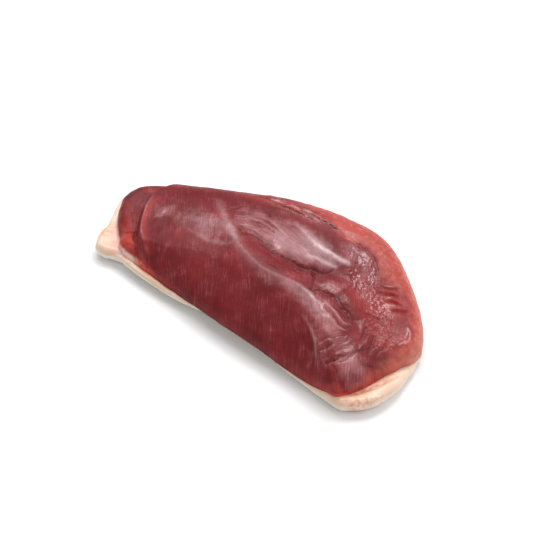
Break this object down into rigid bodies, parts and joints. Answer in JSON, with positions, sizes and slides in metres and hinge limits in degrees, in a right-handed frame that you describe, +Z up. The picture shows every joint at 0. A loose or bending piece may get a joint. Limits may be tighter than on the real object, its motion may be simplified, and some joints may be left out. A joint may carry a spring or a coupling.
{
  "type": "duck breast fillet",
  "caption": "Raw boneless duck breast fillet lying skin side down: a thick wedge of dark muscle on its layer of skin and fat.",
  "frame": {"origin": "centre of the bounding box on the surface that the fillet lies on", "axes": "+X along the fillet towards its broad end, +Y across it towards the long curved side, +Z up, out of the meat side"},
  "size_m": [0.1916, 0.1082, 0.0274],
  "materials": {
    "breast_meat": "raw dark red muscle, moist, semi-gloss, with a thin silvery membrane",
    "skin_fat": "raw cream skin and fat, satin, slightly moist"
  },
  "bodies": {
    "root": {"breast_meat": "breast_meat", "skin_fat": "skin_fat"}
  },
  "joints": []
}
